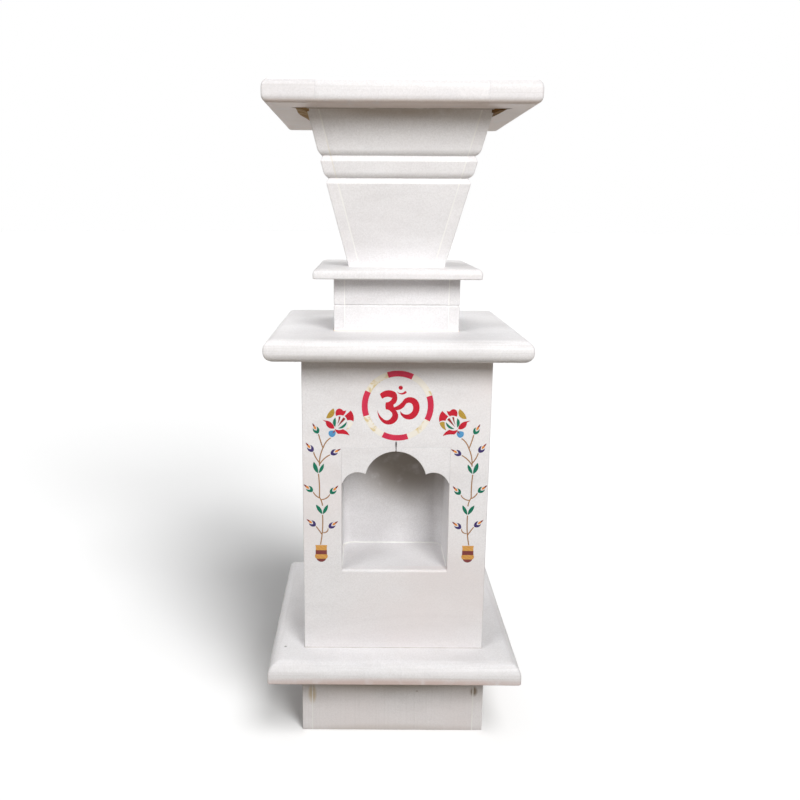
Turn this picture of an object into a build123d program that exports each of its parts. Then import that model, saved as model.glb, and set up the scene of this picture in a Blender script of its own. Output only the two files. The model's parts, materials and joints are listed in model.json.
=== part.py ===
from build123d import *

import os
from math import cos, hypot, radians, sin

# Tulsi vrindavan planter: an altar planter put together from sawn white marble boards and slabs, with coloured
# stones let into its front. Millimetres, +Z up, the front towards -Y, the origin on the floor under the middle.

os.makedirs("parts", exist_ok=True)

# ---- Sizes of the stacked sections, from the floor up ----
PLINTH_WIDTH = 223.0
PLINTH_HEIGHT = 86.0
BASE_SLAB_OVERHANG = 42.0  # past the pedestal, on each side
BASE_SLAB_THICKNESS = 25.0
PEDESTAL_WIDTH = 216.0
PEDESTAL_HEIGHT = 359.0
TABLE_SLAB_OVERHANG = 39.0  # past the pedestal, on each side
TABLE_SLAB_THICKNESS = 25.0
NECK_WIDTH = 145.0
NECK_HEIGHT = 61.0
COLLAR_OVERHANG = 23.0  # past the neck, on each side
COLLAR_THICKNESS = 12.0
POT_BASE_WIDTH = 112.0
POT_TOP_WIDTH = 200.0
POT_HEIGHT = 169.0
RIM_OVERHANG = 43.0  # past the top of the pot, on each side
RIM_THICKNESS = 25.0
RIM_BOARD_WIDTH = 55.0

# ---- Stock and edges ----
BOARD = 12.5  # the marble board of the plinth, pedestal, neck and pot
ARRIS = 0.8  # small flat taken off every upright board edge
NOSE_FLAT = 0.5  # what is left flat in the middle of an edge that is rounded all over
BASE_SLAB_ROUND = 11.0  # of the base slab's upper edge
COLLAR_ROUND = 7.0  # of the collar's upper edge
FOOT_ROUND = 2.0  # of the lower edge of both

# ---- Cut lines ----
POT_LINE_HEIGHT = 12.5
POT_LINE_DEPTH = 4.7
POT_LINE_DROPS = (47.0, 70.5)  # deepest places of the two lines, below the pot's top
POT_LIP_RISE = 1.6  # the lip above each line is worn round: so far above the deepest place
POT_LIP_DEPTH = 1.6  # the line is only this deep
NECK_LINE_HEIGHT = 2.4
NECK_LINE_DEPTH = 1.4
NECK_LINE_RISE = 30.0  # above the table slab

# ---- Water: a drain hole under the soil, and a weep hole out of the hollow neck ----
DRAIN_RADIUS = 7.0
WEEP_RADIUS = 5.0

# ---- Niche ----
NICHE_WIDTH = 126.0
NICHE_DEPTH = 83.0
NICHE_FLOOR_RISE = 102.0  # above the base slab
NICHE_CORNER = 12.0  # radius worked into the two rear corners
SHELF_THICKNESS = 12.5
CHEEK_THICKNESS = 10.0
SILL_ROUND = 3.0
ARCH_SPRING_RISE = 109.0  # where the arch leaves the jambs, above the niche floor
ARCH_LAND = 1.5  # narrow step of the arch plate at each jamb
CUSP_SPAN = 70.0  # between the two cusps
CUSP_RISE = 10.6  # of the cusps above the springing
APEX_RISE = 27.7  # of the middle lobe above the cusps
SIDE_LOBE_CROWN = 1.8  # of a side lobe above the cusps, half way along
PLATE_OVER_APEX = 5.0
SLIT_WIDTH = 1.6
SLIT_DEPTH = 3.0
SLIT_OVER_PLATE = 6.0

# ---- Inlay ----
INLAY_DEPTH = 2.0
RING_OUTER = 41.0
RING_BAND = 6.8
RING_ACROSS = 1.3  # the ring stands this far right of the middle
RING_UNDER_TABLE = 14.5
RING_TURN = 4.0  # degrees clockwise
RING_REDS = 4  # red segments, with as many cream ones between them
RED_ARC = 44.0  # degrees taken by each red segment, the cream ones fill the rest
STEM_WIDTH = 1.3
STEM_GAP = 0.9  # between the end of a stem and the bud that it carries
# The vine was drawn for a free strip of this size beside the niche, and is stretched to fit the strip.
DRAWN_STRIP_WIDTH = 45.0
DRAWN_STRIP_HEIGHT = 359.0
DRAWN_RING = 41.0  # the om was drawn inside a ring of this outer radius
VINE_FROM_JAMB = 24.5  # middle of the vine's pot, as drawn
VINE_FOOT_RISE = 112.0  # foot of the vine's pot above the base slab, as drawn

# ---- Levels and places that follow ----
BASE_SLAB_WIDTH = PEDESTAL_WIDTH + 2 * BASE_SLAB_OVERHANG
TABLE_SLAB_WIDTH = PEDESTAL_WIDTH + 2 * TABLE_SLAB_OVERHANG
COLLAR_WIDTH = NECK_WIDTH + 2 * COLLAR_OVERHANG
RIM_WIDTH = POT_TOP_WIDTH + 2 * RIM_OVERHANG
BASE_SLAB_TOP = PLINTH_HEIGHT + BASE_SLAB_THICKNESS
PEDESTAL_TOP = BASE_SLAB_TOP + PEDESTAL_HEIGHT
TABLE_TOP = PEDESTAL_TOP + TABLE_SLAB_THICKNESS
NECK_TOP = TABLE_TOP + NECK_HEIGHT
COLLAR_TOP = NECK_TOP + COLLAR_THICKNESS
POT_TOP = COLLAR_TOP + POT_HEIGHT
RIM_OPENING = RIM_WIDTH - 2 * RIM_BOARD_WIDTH
POT_SLOPE = (POT_TOP_WIDTH - POT_BASE_WIDTH) / 2 / POT_HEIGHT
POT_WALL = BOARD * hypot(1, POT_SLOPE)  # a leaning board's thickness, measured level
NICHE_FLOOR = BASE_SLAB_TOP + NICHE_FLOOR_RISE
ARCH_SPRING = NICHE_FLOOR + ARCH_SPRING_RISE
CUSP_LEVEL = ARCH_SPRING + CUSP_RISE
APEX_LEVEL = CUSP_LEVEL + APEX_RISE
PLATE_TOP = APEX_LEVEL + PLATE_OVER_APEX
SLIT_TOP = PLATE_TOP + SLIT_OVER_PLATE
FRONT = Plane.XZ.offset(PEDESTAL_WIDTH / 2)  # the pedestal's front face: x to the right, y up
BEHIND_FRONT = BOARD - PEDESTAL_WIDTH / 2  # y of the front panel's rear face
NICHE_BACK = NICHE_DEPTH - PEDESTAL_WIDTH / 2  # y of the niche's rear wall
RING_CENTRE = (RING_ACROSS, PEDESTAL_TOP - RING_UNDER_TABLE - RING_OUTER)
RING_PITCH = 360 / RING_REDS


# ---- Making and saving ----
def save(piece, name):
    """Label a finished piece and write its STEP file."""
    piece.part.label = name
    export_step(piece.part, f"parts/{name}.step")


def upright_board(centre, size, low, high):
    """One upright board, its four long edges eased."""
    with BuildPart() as board:
        with BuildSketch(Plane.XY.offset(low)):
            with Locations(centre):
                Rectangle(*size)
        extrude(amount=high - low)
        chamfer(board.edges().filter_by(Axis.Z), ARRIS)
    return board


def box_places(width, sides_run_through):
    """Centre and size of the four boards of a square box: one pair is full width, the other stands between."""
    shift = (width - BOARD) / 2
    between = width - 2 * BOARD
    cross, along = (between, width) if sides_run_through else (width, between)
    return {
        "front": ((0, -shift), (cross, BOARD)),
        "back": ((0, shift), (cross, BOARD)),
        "left": ((-shift, 0), (BOARD, along)),
        "right": ((shift, 0), (BOARD, along)),
    }


def round_edged_slab(width, thickness, low, upper_round=None, lower_round=None):
    """A square slab whose four sides are rounded over the whole thickness, or by a radius above and one below."""
    all_over = (thickness - NOSE_FLAT) / 2
    top = low + thickness
    with BuildPart() as slab:
        with BuildSketch(Plane.XY.offset(low)):
            Rectangle(width, width)
        extrude(amount=thickness)
        fillet(slab.edges().filter_by_position(Axis.Z, top, top), upper_round or all_over)
        fillet(slab.edges().filter_by_position(Axis.Z, low, low), lower_round or all_over)
    return slab


# ---- Plinth, base slab and table slab ----
for side, (centre, size) in box_places(PLINTH_WIDTH, sides_run_through=True).items():
    save(upright_board(centre, size, 0, PLINTH_HEIGHT), f"plinth_{side}")

base_slab = round_edged_slab(BASE_SLAB_WIDTH, BASE_SLAB_THICKNESS, PLINTH_HEIGHT, BASE_SLAB_ROUND, FOOT_ROUND)
save(base_slab, "base_slab")
save(round_edged_slab(TABLE_SLAB_WIDTH, TABLE_SLAB_THICKNESS, PEDESTAL_TOP), "table_slab")

# ---- Pedestal: back and sides; the front panel comes with the inlay, further down ----
pedestal_places = box_places(PEDESTAL_WIDTH, sides_run_through=False)
for side in ("back", "left", "right"):
    save(upright_board(*pedestal_places[side], BASE_SLAB_TOP, PEDESTAL_TOP), f"pedestal_{side}")

# ---- Niche: a shelf right across the pedestal, two cheeks, a back with round corners and a ceiling ----
with BuildPart() as niche_floor:
    with BuildSketch(Plane.XY.offset(NICHE_FLOOR - SHELF_THICKNESS)):
        Rectangle(PEDESTAL_WIDTH - 2 * BOARD, PEDESTAL_WIDTH - 2 * BOARD)
    extrude(amount=SHELF_THICKNESS)
save(niche_floor, "niche_floor")

cheek_depth = NICHE_BACK - NICHE_CORNER - BEHIND_FRONT
for side, sign in (("left", -1), ("right", 1)):
    with BuildPart() as niche_cheek:
        with BuildSketch(Plane.XY.offset(NICHE_FLOOR)):
            with Locations((sign * (NICHE_WIDTH + CHEEK_THICKNESS) / 2, BEHIND_FRONT + cheek_depth / 2)):
                Rectangle(CHEEK_THICKNESS, cheek_depth)
        extrude(amount=PLATE_TOP - NICHE_FLOOR)
    save(niche_cheek, f"niche_{side}")

with BuildPart() as niche_back:
    with BuildSketch(Plane.XY.offset(NICHE_FLOOR)):
        jamb, outside = NICHE_WIDTH / 2, NICHE_WIDTH / 2 + CHEEK_THICKNESS
        arm_end = NICHE_BACK - NICHE_CORNER
        cove = NICHE_CORNER * (1 - cos(radians(45)))
        with BuildLine():
            ThreePointArc((jamb, arm_end), (jamb - cove, NICHE_BACK - cove), (jamb - NICHE_CORNER, NICHE_BACK))
            Line((jamb - NICHE_CORNER, NICHE_BACK), (NICHE_CORNER - jamb, NICHE_BACK))
            ThreePointArc((NICHE_CORNER - jamb, NICHE_BACK), (cove - jamb, NICHE_BACK - cove), (-jamb, arm_end))
            Polyline(
                (-jamb, arm_end),
                (-outside, arm_end),
                (-outside, NICHE_BACK + CHEEK_THICKNESS),
                (outside, NICHE_BACK + CHEEK_THICKNESS),
                (outside, arm_end),
                (jamb, arm_end),
            )
        make_face()
    extrude(amount=PLATE_TOP - NICHE_FLOOR)
save(niche_back, "niche_back")

with BuildPart() as niche_ceiling:
    ceiling_depth = NICHE_BACK + CHEEK_THICKNESS - BEHIND_FRONT
    with BuildSketch(Plane.XY.offset(PLATE_TOP)):
        with Locations((0, BEHIND_FRONT + ceiling_depth / 2)):
            Rectangle(NICHE_WIDTH + 2 * CHEEK_THICKNESS, ceiling_depth)
    extrude(amount=CHEEK_THICKNESS)
save(niche_ceiling, "niche_ceiling")


def cut_finial_slit():
    """The thin upright saw cut over the arch, through the plate and on into the panel above it."""
    with BuildSketch(FRONT) as slit:
        with Locations((0, (APEX_LEVEL + SLIT_TOP) / 2)):
            Rectangle(SLIT_WIDTH, SLIT_TOP - APEX_LEVEL + SLIT_WIDTH)
    extrude(slit.sketch, amount=-SLIT_DEPTH, mode=Mode.SUBTRACT)


with BuildPart() as arch_plate:
    with BuildSketch(FRONT):
        foot = NICHE_WIDTH / 2 - ARCH_LAND
        cusp = CUSP_SPAN / 2
        lobe = ((foot + cusp) / 2, CUSP_LEVEL + SIDE_LOBE_CROWN)
        with BuildLine():
            ThreePointArc((-foot, ARCH_SPRING), (-lobe[0], lobe[1]), (-cusp, CUSP_LEVEL))
            ThreePointArc((-cusp, CUSP_LEVEL), (0, APEX_LEVEL), (cusp, CUSP_LEVEL))
            ThreePointArc((cusp, CUSP_LEVEL), lobe, (foot, ARCH_SPRING))
            Polyline(
                (foot, ARCH_SPRING),
                (NICHE_WIDTH / 2, ARCH_SPRING),
                (NICHE_WIDTH / 2, PLATE_TOP),
                (-NICHE_WIDTH / 2, PLATE_TOP),
                (-NICHE_WIDTH / 2, ARCH_SPRING),
                (-foot, ARCH_SPRING),
            )
        make_face()
    extrude(amount=-BOARD)
    cut_finial_slit()
save(arch_plate, "arch_plate")


# ---- Neck: four boards with one cut line all round, and a weep hole at the back ----
def cut_line_round_neck():
    """A shallow V cut on all four faces of the neck."""
    level = TABLE_TOP + NECK_LINE_RISE
    face, bottom = NECK_WIDTH / 2, NECK_WIDTH / 2 - NECK_LINE_DEPTH
    for plane in (Plane.XZ, Plane.YZ):
        with BuildSketch(plane) as line:
            for sign in (-1, 1):
                with BuildLine():
                    Polyline(
                        (sign * face, level - NECK_LINE_HEIGHT / 2),
                        (sign * face, level + NECK_LINE_HEIGHT / 2),
                        (sign * bottom, level),
                        close=True,
                    )
                make_face()
        extrude(line.sketch, amount=NECK_WIDTH, both=True, mode=Mode.SUBTRACT)


for side, (centre, size) in box_places(NECK_WIDTH, sides_run_through=True).items():
    with BuildPart() as neck_board:
        add(upright_board(centre, size, TABLE_TOP, NECK_TOP).part)
        cut_line_round_neck()
        if side == "back":
            with Locations(Plane((0, NECK_WIDTH / 2, TABLE_TOP + BOARD), z_dir=(0, 1, 0))):
                Hole(WEEP_RADIUS)
    save(neck_board, f"neck_{side}")

with BuildPart() as collar_slab:
    add(round_edged_slab(COLLAR_WIDTH, COLLAR_THICKNESS, NECK_TOP, COLLAR_ROUND, FOOT_ROUND).part)
    with Locations((0, 0, COLLAR_TOP)):
        Hole(DRAIN_RADIUS)
save(collar_slab, "collar_slab")


# ---- Pot: four leaning boards with two cut lines all round ----
def pot_half(level):
    """Half the pot's outer width at a level."""
    return POT_BASE_WIDTH / 2 + (level - COLLAR_TOP) * POT_SLOPE


def pot_outer_line():
    """The pot's outer line from its foot to its top, with both cut lines, for the side of larger x."""
    points = [(pot_half(COLLAR_TOP), COLLAR_TOP)]
    for drop in sorted(POT_LINE_DROPS, reverse=True):
        middle = POT_TOP - drop
        low, high = middle - POT_LINE_HEIGHT / 2, middle + POT_LINE_HEIGHT / 2
        lip = middle + POT_LIP_RISE
        points += [(pot_half(low), low), (pot_half(middle) - POT_LINE_DEPTH, middle)]
        points += [(pot_half(lip) - POT_LIP_DEPTH, lip), (pot_half(high), high)]
    return points + [(pot_half(POT_TOP), POT_TOP)]


def pot_inner_line():
    """The pot's inner line from its top back to its foot."""
    return [(pot_half(POT_TOP) - POT_WALL, POT_TOP), (pot_half(COLLAR_TOP) - POT_WALL, COLLAR_TOP)]


def mirrored(points, sign):
    """The points with their first coordinate turned to the side of that sign."""
    return [(sign * x, z) for x, z in points]


def pot_board(across, along, sign, fills_between):
    """A leaning board seen end on in one plane, and cut to its width in the plane at right angles to that."""
    with BuildPart() as board:
        with BuildSketch(across):
            with BuildLine():
                Polyline(*mirrored(pot_outer_line() + pot_inner_line(), sign), close=True)
            make_face()
        extrude(amount=POT_TOP_WIDTH, both=True)
        edge = pot_inner_line()[::-1] if fills_between else pot_outer_line()
        with BuildSketch(along):
            with BuildLine():
                Polyline(*edge, *mirrored(edge[::-1], -1), close=True)
            make_face()
        extrude(amount=POT_TOP_WIDTH, both=True, mode=Mode.INTERSECT)
    return board


for side, across, along, sign, fills_between in (
    ("front", Plane.YZ, Plane.XZ, -1, True),
    ("back", Plane.YZ, Plane.XZ, 1, True),
    ("left", Plane.XZ, Plane.YZ, -1, False),
    ("right", Plane.XZ, Plane.YZ, 1, False),
):
    save(pot_board(across, along, sign, fills_between), f"pot_{side}")

# ---- Rim: four boards round the mouth; the side boards run through, front and back stand between them ----
rim_shift = (RIM_WIDTH - RIM_BOARD_WIDTH) / 2
for side, centre, size in (
    ("front", (0, -rim_shift), (RIM_OPENING, RIM_BOARD_WIDTH)),
    ("back", (0, rim_shift), (RIM_OPENING, RIM_BOARD_WIDTH)),
    ("left", (-rim_shift, 0), (RIM_BOARD_WIDTH, RIM_WIDTH)),
    ("right", (rim_shift, 0), (RIM_BOARD_WIDTH, RIM_WIDTH)),
):
    with BuildPart() as rim_board:
        add(round_edged_slab(RIM_WIDTH, RIM_THICKNESS, POT_TOP).part)
        with BuildSketch(Plane.XY.offset(POT_TOP)):
            with Locations(centre):
                Rectangle(*size)
        extrude(amount=RIM_THICKNESS, mode=Mode.INTERSECT)
    save(rim_board, f"rim_{side}")


# ---- Inlay shapes ----
# A stone is a closed outline: a corner, a point on the side that follows it or None where that side is straight,
# the next corner, and so on round.
def draw_stone(*points):
    """Add one stone's face to the sketch that is being drawn."""
    with BuildLine() as outline:
        for i in range(0, len(points), 2):
            corner, middle, following = points[i], points[i + 1], points[(i + 2) % len(points)]
            if middle is None:
                Line(corner, following)
            else:
                ThreePointArc(corner, middle, following)
    make_face(outline.edges())


def stem(start, middle, end):
    """A thin bent strip as a stone outline."""
    run, rise = end[0] - start[0], end[1] - start[1]
    aside = STEM_WIDTH / 2 / hypot(run, rise)
    step = (-rise * aside, run * aside)
    over, under = (
        [(x + sign * step[0], z + sign * step[1]) for x, z in (start, middle, end)] for sign in (1, -1)
    )
    return (over[0], over[1], over[2], None, under[2], under[1], under[0], None)


def turned(outline, place, angle):
    """A stone outline turned by an angle in degrees and moved to a place."""
    c, s = cos(radians(angle)), sin(radians(angle))
    return tuple(
        None if point is None else (place[0] + c * point[0] - s * point[1], place[1] + s * point[0] + c * point[1])
        for point in outline
    )


# One bud, its foot at the origin and its point towards +x
BUD_CUP = ((8.4, 2.2), (3.8, 3.5), (0, 0), (3.8, -3.5), (8.4, -2.2), (5.7, -1.6), (3.9, 0), (5.7, 1.6))
BUD_TIP = ((5.4, 0), (7.2, 1.25), (9.6, 0.95), None, (9.6, -0.95), (7.2, -1.25))
BUD_POINT = ((9.6, 0.95), (11.8, 0.75), (13.8, 0), (11.8, -0.75), (9.6, -0.95), None)

# Each bud: stone, foot, angle, and where its stem starts and bends. The vine is drawn for the left strip, from
# the foot of its pot, with x towards the niche.
BUDS = (
    ("purple", (9.6, 43.3), 38, (2.6, 37.2), (5.8, 37.6)),
    ("purple", (-5.9, 45.6), 141, (1.9, 34.6), (-1.8, 40.2)),
    ("green", (11.6, 85.6), 48, (0.4, 78.4), (5.8, 79.6)),
    ("green", (-8.9, 88.3), 140, (-0.6, 80.4), (-4.9, 83.0)),
    ("purple", (12.2, 133.6), 30, (-0.5, 121.8), (5.0, 128.6)),
    ("purple", (-8.0, 136.8), 128, (-0.6, 123.6), (-4.6, 129.0)),
    ("green", (-2.0, 158.5), 118, (3.4, 141.4), (0.6, 149.6)),
)
MAIN_STEM = (
    ((-0.3, 22.2), (2.0, 38.0), (2.4, 59.6)),
    ((2.4, 71.0), (1.2, 76.6), (-1.2, 81.5)),
    ((-1.2, 81.0), (-1.0, 95.0), (-2.0, 110.0)),
    ((-0.8, 119.8), (0.2, 131.6), (4.0, 142.5)),
    ((4.0, 142.5), (7.6, 149.2), (12.4, 153.4)),
)
STEM_LEAVES = (
    ((2.0, 60.4), (-3.0, 64.9), (-5.3, 72.2), (0.0, 68.2)),
    ((2.8, 60.4), (7.4, 64.9), (8.7, 72.3), (4.4, 67.9)),
    ((-2.4, 110.8), (-7.4, 115.8), (-7.3, 124.6), (-3.6, 119.3)),
    ((-1.6, 110.8), (3.2, 115.4), (4.2, 122.4), (0.4, 118.2)),
)
VINE_POT = (
    ((-6.5, 21.6), None, (7.7, 21.6), (7.1, 18.3), (7.3, 15.0), None, (-6.1, 15.0), (-5.9, 18.3)),
    ((-6.3, 9.8), None, (7.5, 9.8), (8.1, 6.6), (6.3, 4.2), None, (-5.1, 4.2), (-6.9, 6.6)),
)
VINE_POT_BANDS = (
    ((-6.1, 15.0), None, (7.3, 15.0), None, (7.4, 9.8), None, (-6.2, 9.8), None),
    ((-5.1, 4.2), None, (6.3, 4.2), (0.6, 0.2)),
)

# The flower, drawn from the point where its petals meet
FLOWER_PLACE = (17.5, 164.8)
RED_PETALS = (
    ((0.9, 20.7), (4.8, 23.3), (8.9, 21.0), (10.6, 20.7), (12.7, 21.5), (11.5, 17.8), (9.2, 14.9), (5.2, 15.6),
     (1.2, 14.4), (0.4, 17.6)),
    ((17.8, 21.2), (21.0, 15.2), (20.9, 8.1), (17.4, 9.7), (13.9, 9.3), (12.7, 12.2), (10.7, 14.6), (14.0, 17.5)),
    ((-15.1, 9.9), (-13.0, 9.6), (-10.6, 9.1), (-4.2, 6.6), (-0.9, -0.2), (-6.6, 0.2), (-10.7, 7.3), (-12.8, 8.8)),
    ((-0.6, -0.6), (3.8, -2.0), (8.7, -0.9), (13.4, -3.8), (16.5, -8.5), (10.0, -6.8), (3.4, -6.7), (0.9, -4.0)),
)
GOLD_PETAL = ((-10.2, 12.0), (-7.4, 18.3), (-1.9, 23.5), (-2.9, 13.8))
LOW_PETAL = ((14.7, 7.8), (18.0, 8.3), (20.6, 6.9), (18.4, 2.2), (12.7, -1.7), (14.3, 2.9))
PEARL_SLIPS = (
    ((0.9, 13.4), (2.4, 14.0), (3.8, 13.6), (3.2, 9.0), (1.7, 3.2), (1.7, 8.6)),
    ((6.7, 13.6), (7.7, 13.6), (8.7, 13.0), (5.9, 9.2), (3.0, 4.9), (5.4, 9.1)),
    ((12.2, 10.2), (12.9, 9.6), (13.2, 8.8), (8.8, 4.9), (3.6, 1.3), (8.2, 5.4)),
)
INNER_LEAVES = (
    ((0.4, 12.6), (-2.6, 7.2), (0.1, 1.6), (1.0, 7.2)),
    ((13.2, 8.0), (10.8, 1.8), (3.4, 0.0), (8.4, 3.4)),
)
STAMENS = (
    ((4.2, 13.7), (5.3, 14.0), (6.3, 13.6), (4.9, 9.2), (2.3, 4.2), (3.6, 9.0)),
    ((9.2, 12.7), (10.8, 12.2), (11.8, 10.8), (7.6, 6.6), (2.8, 2.2), (6.2, 7.8)),
)
CALYX = ((-6.9, -3.4), (-4.4, -2.7), (-1.4, -2.8), None, (-3.4, -6.4), None, (0.2, -3.6), (0.2, -7.6),
         (-3.3, -10.6), (-7.4, -7.6))
CALYX_SLIP = ((-1.4, -2.8), None, (-0.4, -2.3), None, (0.2, -3.6), None, (-3.4, -6.4), None)

# The om, drawn from the middle of the ring: the top stroke, the bowl, the loop, the crescent
OM_FIGURE = (
    ((-20.4, 13.8), (-12.1, 18.2), (-3.7, 16.6), (-1.7, 14.4), (-0.8, 10.5), None, (-7.3, 9.5), (-12.6, 10.5),
     (-17.6, 8.2), (-19.4, 11.1)),
    ((-0.8, 10.9), (-1.1, 5.8), (-4.6, 1.6), (-4.7, -0.2), (-3.6, -1.9), None, (-2.1, -5.1), (0.7, -12.2),
     (-2.5, -19.0), (-9.7, -22.0), (-17.6, -18.8), (-21.7, -12.6), (-23.0, -5.1), (-20.4, -10.9), (-16.2, -15.2),
     (-11.9, -16.9), (-7.6, -13.9), (-6.0, -10.2), (-8.3, -6.4), (-10.6, -4.7), (-13.4, -4.2), (-14.1, 0.0),
     (-13.6, 4.1), (-9.3, 5.4), (-6.3, 9.6), None),
    ((-4.0, -1.5), (2.9, 2.5), (7.1, 8.0), (15.6, 10.3), (23.0, 5.5), (24.9, -3.4), (21.2, -12.2), (12.8, -15.9),
     (5.0, -11.9), (3.2, -8.9), (3.1, -6.0), (7.2, -9.5), (12.0, -9.8), (17.2, -4.8), (16.1, 2.4), (12.5, 3.8),
     (8.6, 1.2), (5.9, -2.2), (2.6, -4.2), (0.4, -4.8), (-2.1, -5.1), None),
)
OM_CRESCENT = ((-1.2, 17.0), (3.9, 13.4), (10.0, 15.6), (9.4, 16.9), (7.9, 17.4), (4.2, 15.1))
OM_DOT_PLACE = (3.1, 21.2)
OM_DOT_RADIUS = 2.4


def bud_stones(outline, stone=None):
    """One stone of every bud, or of the buds of one stone."""
    return tuple(turned(outline, foot, angle) for kind, foot, angle, *_ in BUDS if stone in (None, kind))


def stem_stones():
    """The main stem and the bent stem of every bud, each bud's stem ending short of the bud's foot."""
    strips = [stem(*run) for run in MAIN_STEM]
    for _, foot, angle, start, middle in BUDS:
        end = (foot[0] - STEM_GAP * cos(radians(angle)), foot[1] - STEM_GAP * sin(radians(angle)))
        strips.append(stem(start, middle, end))
    return tuple(strips)


def flower_stones(*outlines):
    """Stones of the flower, moved from the flower's own middle to its place on the vine."""
    return tuple(turned(outline, FLOWER_PLACE, 0) for outline in outlines)


# Node name after the side, and its stones
VINE = {
    "vine_pot": VINE_POT,
    "vine_pot_bands": VINE_POT_BANDS,
    "vine_stems": stem_stones(),
    "vine_leaves": STEM_LEAVES + flower_stones(*INNER_LEAVES),
    "green_buds": bud_stones(BUD_CUP, "green"),
    "purple_buds": bud_stones(BUD_CUP, "purple"),
    "bud_tips": bud_stones(BUD_TIP),
    "bud_points": bud_stones(BUD_POINT),
    "flower_red_petals": flower_stones(*RED_PETALS),
    "flower_gold_petal": flower_stones(GOLD_PETAL),
    "flower_low_petal": flower_stones(LOW_PETAL),
    "flower_pearl_slips": flower_stones(*PEARL_SLIPS),
    "flower_calyx": flower_stones(CALYX),
    "flower_stamens": flower_stones(*STAMENS, CALYX_SLIP),
}


def draw_vine(node, sign):
    """Draw one node of the vine on the panel: the left vine, or with sign 1 its mirror image on the right."""
    wide = (PEDESTAL_WIDTH - NICHE_WIDTH) / 2 / DRAWN_STRIP_WIDTH
    tall = PEDESTAL_HEIGHT / DRAWN_STRIP_HEIGHT
    middle = NICHE_WIDTH / 2 + VINE_FROM_JAMB * wide
    foot = BASE_SLAB_TOP + VINE_FOOT_RISE * tall
    for outline in VINE[node]:
        draw_stone(*(p and (sign * (middle - p[0] * wide), foot + p[1] * tall) for p in outline))


def draw_ring(first_angle, arc):
    """Like segments of the ring, the first one's middle at an angle and the others evenly spaced after it."""
    with BuildSketch(mode=Mode.PRIVATE) as segment:
        with BuildLine():
            radii = (RING_OUTER, RING_OUTER - RING_BAND)
            ends = [[PolarLine((0, 0), r, a, mode=Mode.PRIVATE) @ 1 for a in (-arc / 2, 0, arc / 2)] for r in radii]
            ThreePointArc(*ends[0])
            ThreePointArc(*ends[1])
            Line(ends[0][0], ends[1][0])
            Line(ends[0][2], ends[1][2])
        make_face()
    for turn in range(RING_REDS):
        with Locations(Location((*RING_CENTRE, 0), (0, 0, first_angle + RING_PITCH * turn - RING_TURN))):
            add(segment.sketch)


def draw_om():
    """The om's figure, crescent and dot, at the size of the ring."""
    scale = RING_OUTER / DRAWN_RING
    for outline in (*OM_FIGURE, OM_CRESCENT):
        draw_stone(*(p and (RING_CENTRE[0] + p[0] * scale, RING_CENTRE[1] + p[1] * scale) for p in outline))
    with Locations((RING_CENTRE[0] + OM_DOT_PLACE[0] * scale, RING_CENTRE[1] + OM_DOT_PLACE[1] * scale)):
        Circle(OM_DOT_RADIUS * scale)


DRAWINGS = {
    "ring_red": lambda: draw_ring(0, RED_ARC),
    "ring_cream": lambda: draw_ring(RING_PITCH / 2, RING_PITCH - RED_ARC),
    "om_red": draw_om,
}
for vine_side, vine_sign in (("left", -1), ("right", 1)):
    for vine_node in VINE:
        DRAWINGS[f"{vine_side}_{vine_node}"] = lambda node=vine_node, sign=vine_sign: draw_vine(node, sign)

# ---- Inlaid stones, and the front panel with a pocket for each ----
pockets = []
for name, draw in DRAWINGS.items():
    with BuildPart() as stones:
        with BuildSketch(FRONT):
            draw()
        extrude(amount=-INLAY_DEPTH)
    save(stones, name)
    pockets.append(stones.part)

with BuildPart() as pedestal_front:
    with BuildSketch(FRONT):
        with Locations((0, BASE_SLAB_TOP + PEDESTAL_HEIGHT / 2)):
            Rectangle(PEDESTAL_WIDTH, PEDESTAL_HEIGHT)
        with Locations((0, (NICHE_FLOOR + PLATE_TOP) / 2)):
            Rectangle(NICHE_WIDTH, PLATE_TOP - NICHE_FLOOR, mode=Mode.SUBTRACT)
    extrude(amount=-BOARD)
    outer_corners = pedestal_front.edges().filter_by(Axis.Z).group_by(Axis.X)
    chamfer(outer_corners[0] + outer_corners[-1], ARRIS)
    level_edges = pedestal_front.edges().filter_by(Axis.X)
    sill = level_edges.filter_by_position(Axis.Z, NICHE_FLOOR - ARRIS, NICHE_FLOOR + ARRIS)
    fillet(sill.sort_by(Axis.Y)[0], SILL_ROUND)
    cut_finial_slit()
    for pocket in pockets:
        add(pocket, mode=Mode.SUBTRACT)
save(pedestal_front, "pedestal_front")
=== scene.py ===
"""Tulsi vrindavan planter: the finished looks of a marble altar planter, built around its construction model.

Metres, +Z up, the front towards -Y. Every piece stands where its construction node stands.
"""

import json
from math import cos, pi, radians, sin

import bmesh
import bpy
import numpy as np
from bpy.props import FloatProperty, FloatVectorProperty, PointerProperty
from bpy.types import Operator, Panel, PropertyGroup
from mathutils import Matrix, Vector


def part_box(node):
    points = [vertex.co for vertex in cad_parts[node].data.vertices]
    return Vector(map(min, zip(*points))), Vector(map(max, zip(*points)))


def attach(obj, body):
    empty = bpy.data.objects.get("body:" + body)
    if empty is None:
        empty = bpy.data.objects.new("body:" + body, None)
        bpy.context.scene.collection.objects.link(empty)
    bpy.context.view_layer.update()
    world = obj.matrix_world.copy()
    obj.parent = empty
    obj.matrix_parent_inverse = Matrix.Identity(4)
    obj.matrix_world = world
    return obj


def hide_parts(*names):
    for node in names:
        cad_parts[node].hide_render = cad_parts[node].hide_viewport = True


bl_info = {
    "name": "Tulsi vrindavan planter",
    "version": (1, 0, 0),
    "blender": (4, 5, 0),
    "location": "3D View > Sidebar > Vrindavan",
    "description": "Finishes a marble altar planter: boards, slabs, niche, pot, filler and inlaid stones",
    "category": "Add Mesh",
}

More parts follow.
